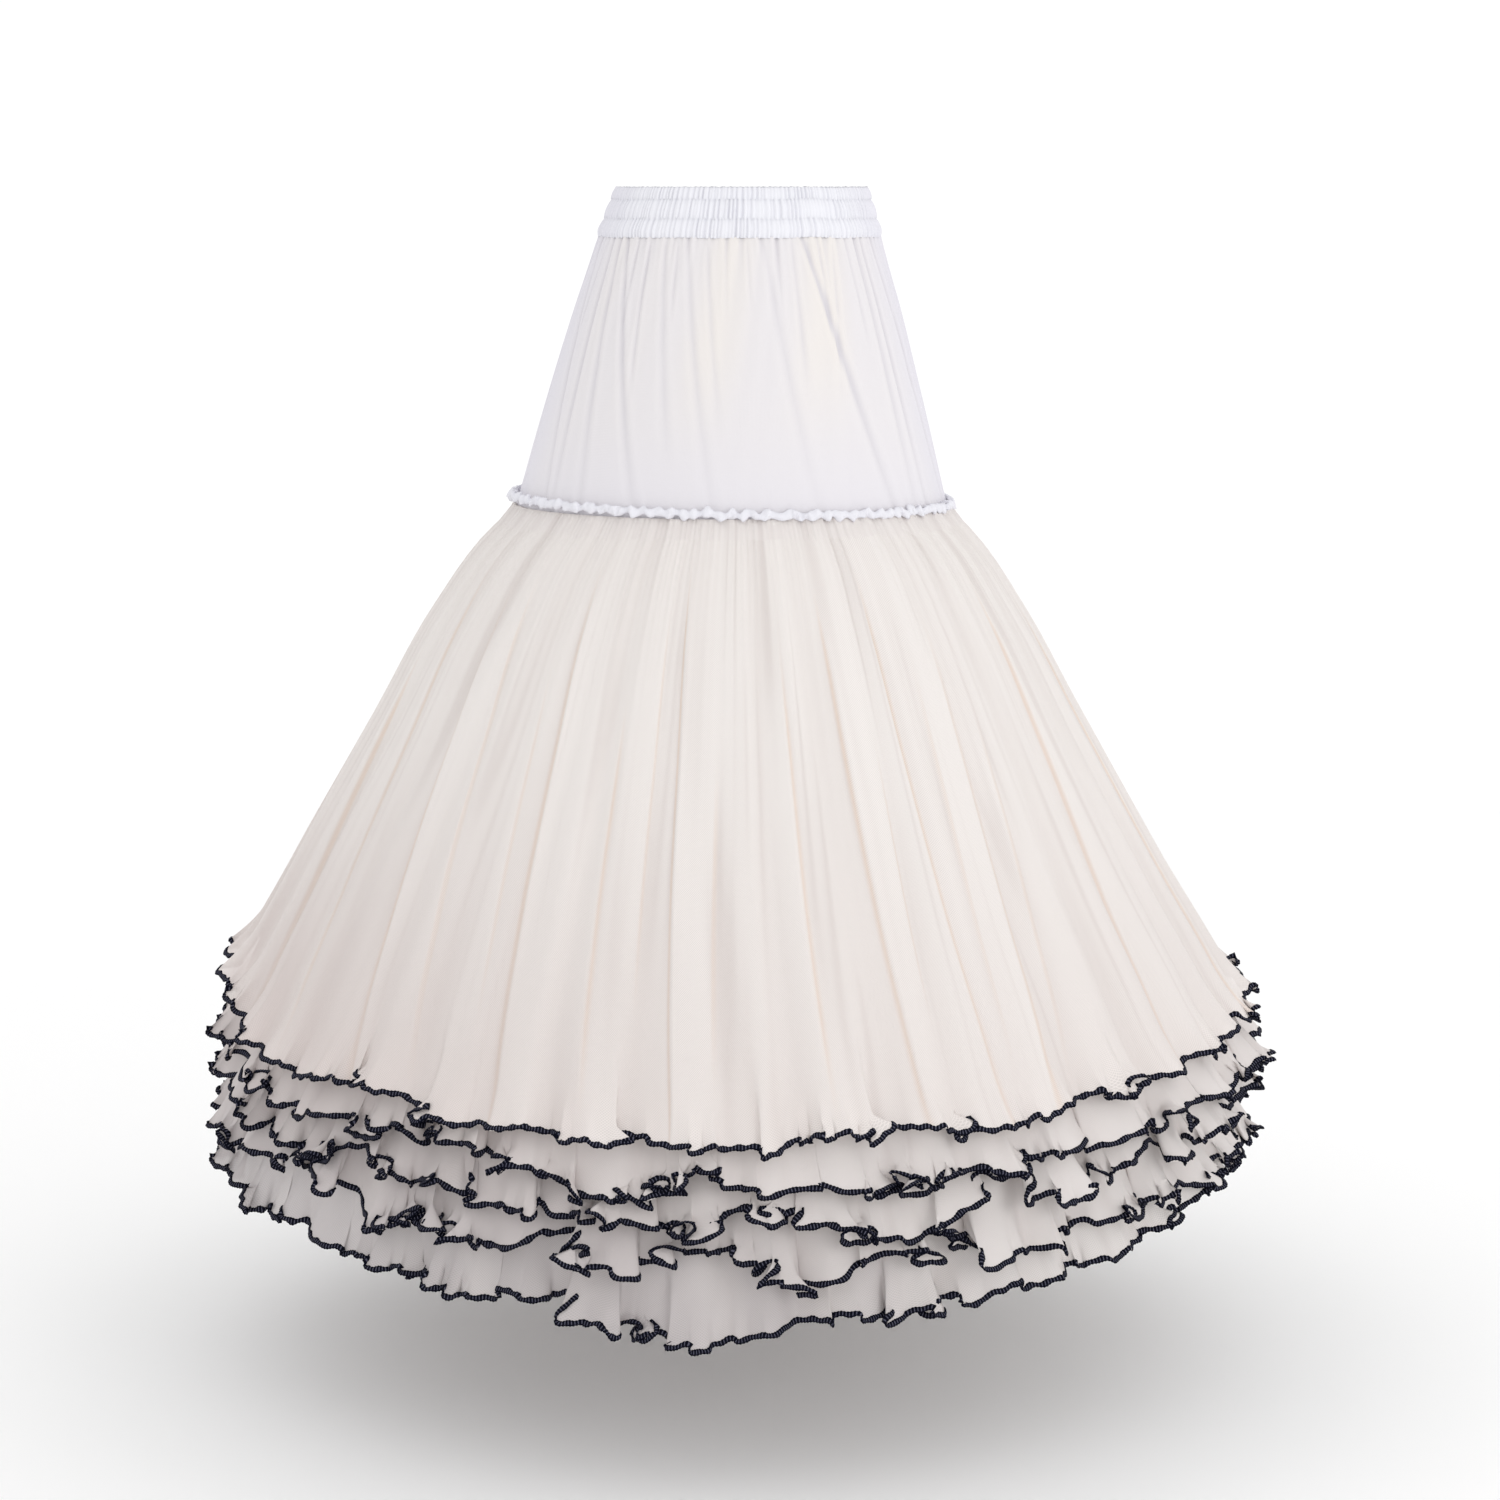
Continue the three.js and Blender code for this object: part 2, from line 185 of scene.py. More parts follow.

# Creases of the yoke's two panels: angle at the waistband and at the seam in degrees from the
# panel's middle, the share of its height where it ends, half its width and its depth in millimetres.
YOKE_CREASES = {
    "yoke_front": {
        "at_band": (-84, -75, -67, -61, -56, -51, -44, -38, -31, -25, -21, -13, -5, 3, 9, 15, 21, 26, 33,
                    40, 47, 53,
                    57, 66, 73, 82),
        "at_seam": (-80, -58, -66, -55, -43, -25, -38, -30, -15, -18, -4, 0, -1, 9, 24, 17, 24, 49, 34, 30,
                    52, 58,
                    64, 79, 70, 84),
        "reach": (1, 1, 0.5, 1, 1, 1, 0.35, 0.6, 0.85, 0.3, 1, 0.7, 0.3, 0.25, 1, 0.3, 0.55, 1, 0.35, 0.6,
                  0.4, 1,
                  1, 1, 0.6, 1),
        "half_width": (4, 5, 3.5, 5, 6, 6, 4, 4, 6, 3.5, 6, 5, 4, 4, 7, 4, 5, 7, 4, 5, 4, 6, 5, 6, 4, 5),
        "depth": (3, 3.5, 2, 3.5, 3, 3.5, 2, 2.5, 2, 1.5, 2, 1.6, 1.2, 1.5, 1.8, 1.5, 2, 4, 2, 2.5, 2, 3, 3.5,
                  3.5, 2, 3),
    },
    "yoke_back": {
        "at_band": (-83, -74, -66, -58, -52, -43, -36, -29, -22, -14, -6, 2, 8, 17, 24, 32, 38, 46, 54, 60,
                    69, 78, 85),
        "at_seam": (-85, -64, -70, -47, -55, -36, -20, -31, -9, -12, 3, 1, 19, 14, 38, 30, 47, 44, 63, 55,
                    75, 72, 82),
        "reach": (1, 1, 0.5, 1, 0.4, 0.7, 1, 0.3, 0.9, 0.35, 0.6, 0.3, 1, 0.3, 1, 0.4, 0.8, 0.4, 1, 0.5, 1,
                  0.6, 1),
        "half_width": (4, 5, 4, 6, 4, 5, 7, 4, 6, 4, 5, 4, 7, 4, 6, 4, 5, 4, 6, 4, 5, 4, 5),
        "depth": (3, 3.5, 2, 4, 2, 3, 4, 1.5, 3.5, 1.5, 2.5, 1.5, 4, 1.5, 3.5, 2, 3, 2, 4, 2.5, 3.5, 2, 3),
    },
}


class PetticoatWhiteCloth(bpy.types.PropertyGroup):
    """Sizes and colours of the waistband, the yoke and the seam's frill"""

    yoke_colour: bpy.props.FloatVectorProperty(
        name="Yoke colour", description="Colour of the yoke's cloth", subtype="COLOR",
        default=(0.755, 0.73, 0.745))
    band_colour: bpy.props.FloatVectorProperty(
        name="Waistband colour", description="Colour of the waistband and the frill", subtype="COLOR",
        default=(0.81, 0.81, 0.855))
    # Painted shade: mixed in at the sides of the waistband and yoke and low on the yoke, where the cloth turns
    # from the light; the frill takes a little of it all over as its tone.
    cool_shade_colour: bpy.props.FloatVectorProperty(
        name="Cool colour", description="Colour of the white cloth at the sides and low down",
        subtype="COLOR",
        default=(0.715, 0.70, 0.765))
    band_gathers: bpy.props.IntProperty(
        name="Waistband gathers", description="Gathers all the way round the elastic", default=210, min=40)
    band_puff: bpy.props.FloatProperty(
        name="Channel puff", description="How far each elastic channel stands out between its stitching",
        default=0.0015, unit="LENGTH")
    gather_depth: bpy.props.FloatProperty(
        name="Gather depth", description="Depth of the waistband's gathers", default=0.0013, unit="LENGTH")
    frill_half_height: bpy.props.FloatProperty(
        name="Half the frill's height", description="Half the height of the serged frill on the seam",
        default=0.0050, unit="LENGTH")


class PetticoatTulle(bpy.types.PropertyGroup):
    """Sizes and colours of the five layers of tulle"""

    # Painted light and shade: the ridge colour lights the folds' ridges, the valley colour shades their
    # valleys.
    ridge_colour: bpy.props.FloatVectorProperty(
        name="Ridge colour", description="Colour of the tulle on its folds", subtype="COLOR",
        default=(0.845, 0.802, 0.776))
    valley_colour: bpy.props.FloatVectorProperty(
        name="Valley colour", description="Colour of the tulle between its folds", subtype="COLOR",
        default=(0.74, 0.685, 0.66))
    # Painted shade, low down and most of all on the side away from the light.
    dusk_colour: bpy.props.FloatVectorProperty(
        name="Dusk colour",
        description="Colour of the tulle low down, most of all on the side away from the light",
        subtype="COLOR", default=(0.64, 0.565, 0.545))
    # Painted shade: the dark hollow inside the skirt, seen through the innermost layer and a little through the
    # layers under the outer one.
    inner_colour: bpy.props.FloatVectorProperty(
        name="Inner colour",
        description="Colour of the longest, innermost layer, which has nothing behind it",
        subtype="COLOR", default=(0.55, 0.51, 0.51))
    warm_colour: bpy.props.FloatVectorProperty(
        name="Warm colour",
        description="Colour along the edges of the long folds, where the tulle lies double",
        subtype="COLOR", default=(0.79, 0.67, 0.59))
    cover: bpy.props.FloatProperty(
        name="Cover", description="How much of the light the net holds back between its threads",
        default=0.84,
        min=0, max=1)
    fold_depth: bpy.props.FloatProperty(
        name="Fold depth", description="Depth of the main folds near the hems", default=0.007, unit="LENGTH")
    gather_depth: bpy.props.FloatProperty(
        name="Gather depth", description="Depth of the fine gathers under the seam",
        default=0.0008, unit="LENGTH")
    net_pitch: bpy.props.FloatProperty(
        name="Net pitch", description="Width of one mesh of the net", default=0.0022, unit="LENGTH")


class PetticoatHem(bpy.types.PropertyGroup):
    """Sizes and colours of the serged hems"""

    thread_colour: bpy.props.FloatVectorProperty(
        name="Thread colour", description="Colour of the serging thread", subtype="COLOR",
        default=(0.002, 0.0025, 0.008))
    edge_colour: bpy.props.FloatVectorProperty(
        name="Edge colour", description="Colour of the rolled edge between the stitches", subtype="COLOR",
        default=(0.105, 0.105, 0.145))
    stitch: bpy.props.FloatProperty(
        name="Stitch length", description="Length of one serging stitch", default=0.0030, unit="LENGTH")
    width: bpy.props.FloatProperty(
        name="Serging width", description="Width of the serged edge", default=0.0058, unit="LENGTH")
    thickness: bpy.props.FloatProperty(
        name="Serging thickness", description="Thickness of the serged edge", default=0.0026, unit="LENGTH")
    wave_out: bpy.props.FloatProperty(
        name="Wave depth", description="How far the hem's waves swing out and in",
        default=0.0055, unit="LENGTH")
    wave_up: bpy.props.FloatProperty(
        name="Wave rise", description="How far the hem's waves rise and fall", default=0.0034, unit="LENGTH")
    wave_side: bpy.props.FloatProperty(
        name="Wave overhang", description="How far the hem's waves swing sideways over themselves",
        default=0.0040, unit="LENGTH")
    loop: bpy.props.FloatProperty(
        name="Loop length", description="Length of one tight loop where the hem is bunched", default=0.0078,
        unit="LENGTH")
    loop_reach: bpy.props.FloatProperty(
        name="Loop reach", description="How far a tight loop swings each way", default=0.0095, unit="LENGTH")


class PetticoatStage(bpy.types.PropertyGroup):
    """The camera, the floor and the light"""

    distance: bpy.props.FloatProperty(
        name="Camera distance", description="From the waist's middle to the camera",
        default=3.4, unit="LENGTH")
    tilt: bpy.props.FloatProperty(
        name="Camera tilt", description="How far the camera looks down",
        default=math.radians(9.1), unit="ROTATION")
    lens: bpy.props.FloatProperty(name="Lens", description="Focal length", default=84.4, unit="CAMERA")
    aside: bpy.props.FloatProperty(
        name="Camera aside", description="How far the camera stands towards +X", default=0.008, unit="LENGTH")
    floor_below_hem: bpy.props.FloatProperty(
        name="Floor below the hem", description="From the lowest hem to the floor",
        default=0.15, unit="LENGTH")
    floor_colour: bpy.props.FloatVectorProperty(
        name="Floor colour", description="Colour of the floor", subtype="COLOR", default=(0.97, 0.97, 0.97))


GROUPS = {
    "petticoat_white": PetticoatWhiteCloth,
    "petticoat_tulle": PetticoatTulle,
    "petticoat_hem": PetticoatHem,
    "petticoat_stage": PetticoatStage,
}


class Value:
    """A socket of a material's nodes, on which arithmetic adds Math nodes."""

    def __init__(self, shader, socket):
        self.shader = shader
        self.socket = socket

    def maths(self, operation, *others):
        return self.shader.node("ShaderNodeMath", {"operation": operation}, *others)

    def __add__(self, other):
        return self.maths("ADD", self, other)

    def __radd__(self, other):
        return self.maths("ADD", other, self)

    def __sub__(self, other):
        return self.maths("SUBTRACT", self, other)

    def __rsub__(self, other):
        return self.maths("SUBTRACT", other, self)

    def __mul__(self, other):
        return self.maths("MULTIPLY", self, other)

    def __rmul__(self, other):
        return self.maths("MULTIPLY", other, self)

    def smaller(self, other):
        return self.maths("MINIMUM", self, other)

    def wave(self):
        """The size of the sine of this value, from 0 to 1."""
        return self.maths("ABSOLUTE", self.maths("SINE", self))

    def step(self, low, high):
        """0 below low and 1 above high, with a soft change in between."""
        return self.shader.node(
            "ShaderNodeMapRange", {"interpolation_type": "SMOOTHSTEP"}, self, low, high, 0.0, 1.0)


class Shader:
    """A new material with one Principled shader, and the nodes that are added to it."""

    def __init__(self, name, **constants):
        self.material = bpy.data.materials.new(name)
        self.material.use_nodes = True
        self.nodes = self.material.node_tree.nodes
        self.links = self.material.node_tree.links
        self.principled = self.nodes["Principled BSDF"]
        for socket, value in constants.items():
            self.principled.inputs[socket.replace("_", " ")].default_value = value

    def node(self, kind, settings, *inputs, output=0):
        """Adds a node with its settings, then the values or links of its sockets in order. None skips one."""
        node = self.nodes.new(kind)
        for setting, value in settings.items():
            setattr(node, setting, value)
        sockets = [socket for socket in node.inputs if socket.enabled]
        for socket, value in zip(sockets, inputs):
            self.feed(socket, value)
        return Value(self, node.outputs[output])

    def feed(self, socket, value):
        if isinstance(value, Value):
            self.links.new(value.socket, socket)
        elif value is not None:
            socket.default_value = value

    def mix(self, share, first, second):
        """A colour between two colours, which are given with their alpha."""
        node = self.nodes.new("ShaderNodeMix")
        node.data_type = "RGBA"
        self.feed(node.inputs["Factor"], share)
        colours = [socket for socket in node.inputs if socket.type == "RGBA"]
        self.feed(colours[0], first)
        self.feed(colours[1], second)
        return Value(self, next(socket for socket in node.outputs if socket.type == "RGBA"))

    def attribute(self, name):
        return self.node("ShaderNodeAttribute", {"attribute_name": name}, output="Fac")

    def cloth_place(self):
        """How far round and along the cut cloth a place is, in metres."""
        place = self.node("ShaderNodeUVMap", {"uv_map": "cloth"})
        around = self.node("ShaderNodeSeparateXYZ", {}, place)
        return around, Value(self, around.socket.node.outputs["Y"])

    def noise(self, scale):
        """Plain noise over the object's own coordinates."""
        place = self.node("ShaderNodeTexCoord", {}, output="Object")
        return self.node("ShaderNodeTexNoise", {}, place, scale, 0.0)

    def bump(self, height, strength, distance):
        return self.node("ShaderNodeBump", {}, strength, distance, None, height)

    def feed_principled(self, **values):
        for socket, value in values.items():
            self.feed(self.principled.inputs[socket.replace("_", " ")], value)
        return self.material


def opaque(colour):
    return (*colour, 1.0)


def white_cloth_material(name, colour, cool_shade, rib, darkest):
    """Soft white cloth with fine knitted ribs and painted shade, darker where its relief is low, in its creases
    and gathers. The warm attribute paints lighter, warmer patches of painted light, and the dusk attribute
    mixes in the cool shade colour: painted shade at the sides and low down, and an even cool tone on the frill.
    """
    shader = Shader(name, Roughness=0.85, Specular_IOR_Level=0.3)
    around, along = shader.cloth_place()
    relief = shader.attribute("relief")
    ribs = (around * (math.pi / rib)).wave() * 0.6 + (along * (math.pi / rib)).wave() * 0.4
    # Painted shade: the colour where the relief is lowest, in the deepest creases.
    shade = tuple(part * darkest * share for part, share in zip(colour, (1, 1, 1.03)))
    warm = tuple(part * share for part, share in zip(colour, (1.04, 1.025, 0.97)))
    # Painted light: the warmer, lighter colour where the warm attribute is high. Then painted shade in the cool
    # shade colour where the dusk attribute is high.
    lit = shader.mix(shader.attribute("warm"), opaque(colour), opaque(warm))
    lit = shader.mix(shader.attribute("dusk"), lit, opaque(cool_shade))
    return shader.feed_principled(
        Base_Color=shader.mix((relief * 0.8 + 0.14).step(0.1, 0.75), opaque(shade), lit),
        Normal=shader.bump(ribs, 0.25, 0.0004),
    )


def tulle_material(name, ridge, valley, dusk, warm, pitch, cover):
    """Fine net of two sets of slanting threads, with painted light on the ridges of its folds and painted shade
    in their valleys, and rosier painted shade where it is dusky. Where cover is below 1, some light shows
    through between the threads."""
    shader = Shader(name, Roughness=0.8, Specular_IOR_Level=0.3)
    around, along = shader.cloth_place()
    relief = shader.attribute("relief")
    turn = math.pi / pitch
    threads = 1 - ((around + along) * turn).wave().smaller(((around - along) * turn).wave())
    net = threads.step(0.35, 0.9)
    # Painted light and shade: the ridge colour where the relief is high, the valley colour where it is low.
    tone = (relief * 0.8 + 0.22).step(0.15, 0.95)
    colour = shader.mix(tone, opaque(valley), opaque(ridge))
    colour = shader.mix(shader.attribute("warm"), colour, opaque(warm))
    if cover < 1:
        shader.feed_principled(Alpha=net * (1 - cover) + cover)
    return shader.feed_principled(
        Base_Color=shader.mix(shader.attribute("dusk"), colour, opaque(dusk)),
        Normal=shader.bump(net, 0.3, 0.0004),
    )


FLUFF_SCALE = 900


def thread_material(name, thread, edge):
    """Serging: dark thread in ridges across a rolled edge that shows between them."""
    shader = Shader(name, Roughness=0.8, Specular_IOR_Level=0.05)
    stitch = shader.attribute("relief")
    tone = (stitch + shader.noise(FLUFF_SCALE) * 0.3).step(0.2, 0.62)
    return shader.feed_principled(Base_Color=shader.mix(tone, opaque(edge), opaque(thread)))


def floor_material(colour):
    return Shader("pale_floor", Base_Color=opaque(colour), Roughness=0.9, Specular_IOR_Level=0.0).material


def through(x, xs, ys):
    """A smooth curve through a few points."""
    xs, ys = np.asarray(xs, float), np.asarray(ys, float)
    slopes = np.gradient(ys, xs)
    x = np.clip(x, xs[0], xs[-1])
    piece = np.clip(np.searchsorted(xs, x, side="right") - 1, 0, len(xs) - 2)
    width = xs[piece + 1] - xs[piece]
    t = (x - xs[piece]) / width
    rise = ys[piece + 1] - ys[piece]
    start, end = slopes[piece] * width, slopes[piece + 1] * width
    return ys[piece] + t * (start + t * (3 * rise - 2 * start - end + t * (start + end - 2 * rise)))


def place(outline, angle, drop, out):
    """Points on the garment's outline, moved out by so much. Angle 0 is the front's middle."""
    half_width, share, lean = (
        through(drop, outline["drop"], outline[column]) for column in ("half_width", "depth_share", "lean"))
    across = lean + (half_width + out) * np.sin(angle)
    deep = -(half_width * share + out) * np.cos(angle)
    return np.stack(np.broadcast_arrays(across, deep, -drop), axis=-1)


def smooth(x, low, high):
    t = np.clip((x - low) / (high - low), 0, 1)
    return t * t * (3 - 2 * t)


def away_from(angle, middle):
    """The angle from one direction to another, the short way round."""
    return (angle - middle + math.pi) % TURN - math.pi


def uneven(angle, slow, fast, seed):
    """A wave all the way round whose crests are of uneven height and spacing, mostly between -1 and 1."""
    draw = np.random.default_rng(seed)
    turns = np.arange(slow, fast + 1)
    weights = draw.uniform(0.4, 1, len(turns))
    phases = draw.uniform(0, TURN, len(turns))
    total = sum(weight * np.sin(turn * angle + phase) for turn, weight, phase in zip(turns, weights, phases))
    return total / np.sqrt(2 * (weights**2).sum())


def fold_heights(angle):
    """Height of the main folds all the way round, from -1 in the deepest valley to 1."""
    widths = np.tile(TULLE_FOLDS["width"], 4)
    depths = np.tile(TULLE_FOLDS["depth"], 4)
    rolls = np.tile(TULLE_FOLDS["roll"], 4)
    turns = widths / widths.sum() * TURN
    starts = np.concatenate([[0], np.cumsum(turns)[:-1]])
    middles = starts + turns * (0.5 - 0.08 * rolls)
    knots = np.stack([starts, middles - 0.16 * turns, middles + 0.16 * turns], axis=1).ravel()
    heights = np.stack([-depths, depths * (0.7 - rolls), depths * (0.7 + rolls)], axis=1).ravel()
    return through(
        angle % TURN,
        np.concatenate([knots[-3:] - TURN, knots, knots[:3] + TURN]),
        np.concatenate([heights[-3:], heights, heights[:3]]))


def trough(away):
    """The section of a soft crease: a trough with a low ridge along each side."""
    return np.exp(-np.abs(away) ** 1.4) - 0.4 * np.exp(-((np.abs(away) - 1.9) ** 2) / 0.8)


def laid_fold(away, crisp):
    """The section of a fold that lies on its neighbour: it rises softly to its edge and drops there at once."""
    over = 1 / (1 + np.exp(np.clip(away / crisp, -30, 30)))
    return over * np.exp(np.minimum(away, 0) / 1.6) - (1 - over) * np.exp(-np.maximum(away, 0) / 0.9)


def make_cloth(name, points, cloth, material, closed, relief, dusk=0, warm=0):
    """A mesh of one surface from rows of points, with its place on the cut cloth as its UVs. cloth has one
    more column than points where the surface is closed. relief, dusk and warm are kept for the material."""
    rows, columns = points.shape[:2]
    index = np.arange(rows * columns).reshape(rows, columns)
    steps = columns if closed else columns - 1
    left = index[:, :steps]
    right = np.roll(index, -1, axis=1)[:, :steps]
    quads = np.stack([left[:-1], left[1:], right[1:], right[:-1]], axis=-1).reshape(-1, 4)
    flat = cloth[:, :steps], cloth[:, 1 : steps + 1]
    corners = np.stack([flat[0][:-1], flat[0][1:], flat[1][1:], flat[1][:-1]], axis=2)
    mesh = bpy.data.meshes.new(name)
    mesh.vertices.add(rows * columns)
    mesh.vertices.foreach_set("co", points.astype(np.float32).ravel())
    mesh.loops.add(quads.size)
    mesh.loops.foreach_set("vertex_index", quads.astype(np.int32).ravel())
    mesh.polygons.add(len(quads))
    mesh.polygons.foreach_set("loop_start", np.arange(0, quads.size, 4, dtype=np.int32))
    mesh.update(calc_edges=True)
    mesh.shade_smooth()
    mesh.uv_layers.new(name="cloth").data.foreach_set("uv", corners.astype(np.float32).ravel())
    for attribute, values in (("relief", relief), ("dusk", dusk), ("warm", warm)):
        values = np.broadcast_to(values, (rows, columns)).astype(np.float32).ravel()
        mesh.attributes.new(attribute, "FLOAT", "POINT").data.foreach_set("value", values)
    mesh.materials.append(material)
    mesh.validate()
    piece = bpy.data.objects.new(name, mesh)
    bpy.context.scene.collection.objects.link(piece)
    return piece


def flat_cloth(around, along):
    """Places on the cut cloth from how far round each column is and how far along each row is."""
    return np.stack(np.broadcast_arrays(around[None, :], along[:, None]), axis=-1)


def dress(piece, slot, *nodes):
    """Makes a piece ride on the garment and stand for its solids, which it hides."""
    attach(piece, BODY)
    if nodes:
        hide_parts(*nodes)
    return piece


def even_angles(count):
    """Angles all the way round from the back's middle."""
    return np.arange(count) * TURN / count - math.pi


BAND_COLUMNS = 1160
BAND_WALL = 0.002
BAND_TAPER = 0.0045
BAND_SEAMS = (0.0, 0.012, 0.030, BAND_BOTTOM)
BAND_INSIDE = (0.046, 0.034, 0.022, 0.012, 0.003)
CHANNEL_ROWS = 9
BAND_CUT = (0.96, 0.094)
BAND_CLOTH = {"rib": 0.0011, "darkest": 0.76}


def band_rows():
    """The waistband's section, up its inside and down its outside: the drop of each row, how far its channel
    stands out there, which channel it is in, and whether it is on the outside."""
    rows = [(drop, 0.0, 0, False) for drop in BAND_INSIDE]
    for channel, (top, bottom) in enumerate(zip(BAND_SEAMS, BAND_SEAMS[1:])):
        last = CHANNEL_ROWS + 1 if bottom == BAND_BOTTOM else CHANNEL_ROWS
        for share in np.arange(last) / CHANNEL_ROWS:
            puff = math.sin(math.pi * share) ** 0.7 * (1 if channel else 0.75)
            rows.append((top + share * (bottom - top), puff, channel, True))
    return rows


class PETTICOAT_OT_waistband(bpy.types.Operator):
    """Make the elastic waistband, gathered in three sewn channels"""

    bl_idname = "petticoat.waistband"
    bl_label = "Waistband"

    def execute(self, context):
        sizes = context.scene.petticoat_white
        angle = even_angles(BAND_COLUMNS)
        rows, reliefs = [], []
        for drop, puff, channel, outside in band_rows():
            taper = -BAND_TAPER * (1 - drop / BAND_BOTTOM)
            if not outside:
                wave = 0.25 * MM * uneven(angle, 90, 150, 3)
                rows.append(place(YOKE_OUTLINE, angle, drop, taper - sizes.band_puff - BAND_WALL + wave))
                reliefs.append(0.5 + 0 * angle)
                continue
            count = sizes.band_gathers
            gathers = uneven(angle, int(count * 0.5), int(count * 1.3), 20 + channel)
            shared = uneven(angle, int(count * 0.4), int(count * 0.9), 29)
            strength = 0.75 + 0.35 * uneven(angle, 5, 20, 35 + channel)
            pleats = np.tanh(1.4 * (gathers + 0.6 * shared)) * strength
            lift = sizes.gather_depth * (0.55 + 0.6 * puff) * pleats
            if drop == 0:
                sag = 0.5 * MM * uneven(angle, 40, 160, 33)
            else:
                sag = 0.5 * MM * uneven(angle, 3, 14, 31) + 0.4 * MM * gathers * (1 - puff)
            drawn_in = 1.3 * MM * smooth(drop, 0.04, BAND_BOTTOM)
            stands = taper + sizes.band_puff * (0.9 * puff - 0.6) + lift - drawn_in
            rows.append(place(YOKE_OUTLINE, angle, drop + sag, stands))
            # Relief paints light and shade: lighter on the puffed channels and gathers' ridges, darker where
            # the channels are stitched down and in the gathers' valleys.
            reliefs.append(0.4 + 0.3 * puff + 0.35 * pleats)
        points = np.stack(rows)
        step = np.linalg.norm(np.diff(points, axis=0), axis=2).mean(axis=1)
        lengths = np.concatenate([[0], np.cumsum(step)])
        around = np.linspace(0, BAND_CUT[0], BAND_COLUMNS + 1)
        material = white_cloth_material("waistband_cloth", sizes.band_colour, sizes.cool_shade_colour, **BAND_CLOTH)
        # Painted shade: the cool shade colour at the sides, which turn away from the light.
        cool_shade = 0.6 * smooth(np.abs(np.sin(angle)), 0.75, 1)
        piece = make_cloth(
            "waistband_cloth", points, flat_cloth(around, lengths), material, True, np.stack(reliefs), cool_shade)
        dress(piece, "waistband_cloth", "waistband")
        return {"FINISHED"}


YOKE_COLUMNS = 460
YOKE_ROW_COUNT = 52
YOKE_CUT = (0.66, 0.262)
YOKE_CLOTH = {"rib": 0.0014, "darkest": 0.86}
YOKE_FACE = 0.0022
YOKE_SEEDS = {"yoke_front": 41, "yoke_back": 47}


def yoke_lift(name, local, share):
    """How far one panel's cloth stands out: listed creases, and fine gathers at the top."""
    table = YOKE_CREASES[name]
    lift = np.zeros(np.broadcast_shapes(local.shape, share.shape))
    for at_band, at_seam, reach, half_width, depth in zip(*table.values()):
        middle = np.radians(at_band + (at_seam - at_band) * share**0.9)
        radius = 0.14 + 0.07 * share
        width = half_width * MM * (0.4 + 0.5 * share) / radius
        fade = smooth(share, -0.05, 0.04) * (1 - smooth(share, reach * 0.6, reach + 0.04))
        if reach == 1:
            fade = smooth(share, -0.05, 0.04) * (1 - 0.55 * smooth(share, 0.4, 1))
        lift -= depth * MM * 0.5 * fade * trough((local - middle) / width)
    seed = YOKE_SEEDS[name]
    gathers = np.tanh(1.8 * uneven(local, 60, 130, seed))
    lift += 0.8 * MM * gathers * np.exp(-share / 0.06)
    lift += 0.4 * MM * np.tanh(uneven(local + 0.2 * share, 40, 90, seed + 3)) * np.exp(-share / 0.22)
    lift += 0.5 * MM * uneven(local + 0.2 * share, 24, 60, seed + 1) * np.exp(-share / 0.35)
    lift += 0.35 * MM * np.tanh(2 * uneven(local, 70, 140, seed + 2)) * np.exp(-(1 - share) / 0.05)
    return lift


class PETTICOAT_OT_yoke(bpy.types.Operator):
    """Make the yoke's front and back, with the creases that run down from the gathers"""

    bl_idname = "petticoat.yoke"
    bl_label = "Yoke"

    def execute(self, context):
        sizes = context.scene.petticoat_white
        material = white_cloth_material("yoke_cloth", sizes.yoke_colour, sizes.cool_shade_colour, **YOKE_CLOTH)
        local = np.linspace(-QUARTER, QUARTER, YOKE_COLUMNS)[None, :]
        share = np.linspace(0, 1, YOKE_ROW_COUNT)[:, None] ** 1.15
        drop = BAND_BOTTOM - 0.001 + share * (YOKE_BOTTOM - BAND_BOTTOM + 0.001)
        for name, middle in (("yoke_front", 0.0), ("yoke_back", math.pi)):
            lift = yoke_lift(name, local, share)
            tuck = -0.5 * MM * np.exp(-share / 0.03)
            points = place(YOKE_OUTLINE, middle + local, drop, lift + tuck - YOKE_FACE)
            around = np.linspace(0, YOKE_CUT[0], YOKE_COLUMNS)
            along = share[:, 0] * YOKE_CUT[1]
            # Relief paints light and shade: lighter on the gathers' ridges, darker in the creases.
            relief = np.clip(0.62 + lift / (3.5 * MM), 0, 1)
            # Painted light: lighter, warmer patches near the top and the middle, fading towards the seam and
            # the sides.
            patches = smooth(uneven(local + 0.2 * share, 2, 14, 55), -0.3, 0.9)
            warm = patches * (1 - smooth(share, 0.35, 0.8)) * (1 - smooth(np.abs(local), 0.7, 1.1))
            # Painted shade: the cool shade colour at the sides and low down.
            cool_shade = np.maximum(0.75 * smooth(np.abs(local), 0.9, 1.45), 0.4 * smooth(share, 0.6, 1))
            piece = make_cloth(
                f"{name}_cloth", points, flat_cloth(around, along), material, False, relief, cool_shade, warm)
            dress(piece, "yoke_cloth", name)
        return {"FINISHED"}


FRILL_COLUMNS = 2000
FRILL_SECTION = 12
FRILL_DROP = 0.2966
FRILL_OFF_YOKE = 0.0040
FRILL_HALF_DEPTH = 0.0033
FRILL_LEAN = 0.0045
FRILL_STITCHES = 900
FRILL_CUT = (1.9, 0.02)
FRILL_CLOTH = {"rib": 0.0012, "darkest": 0.85}


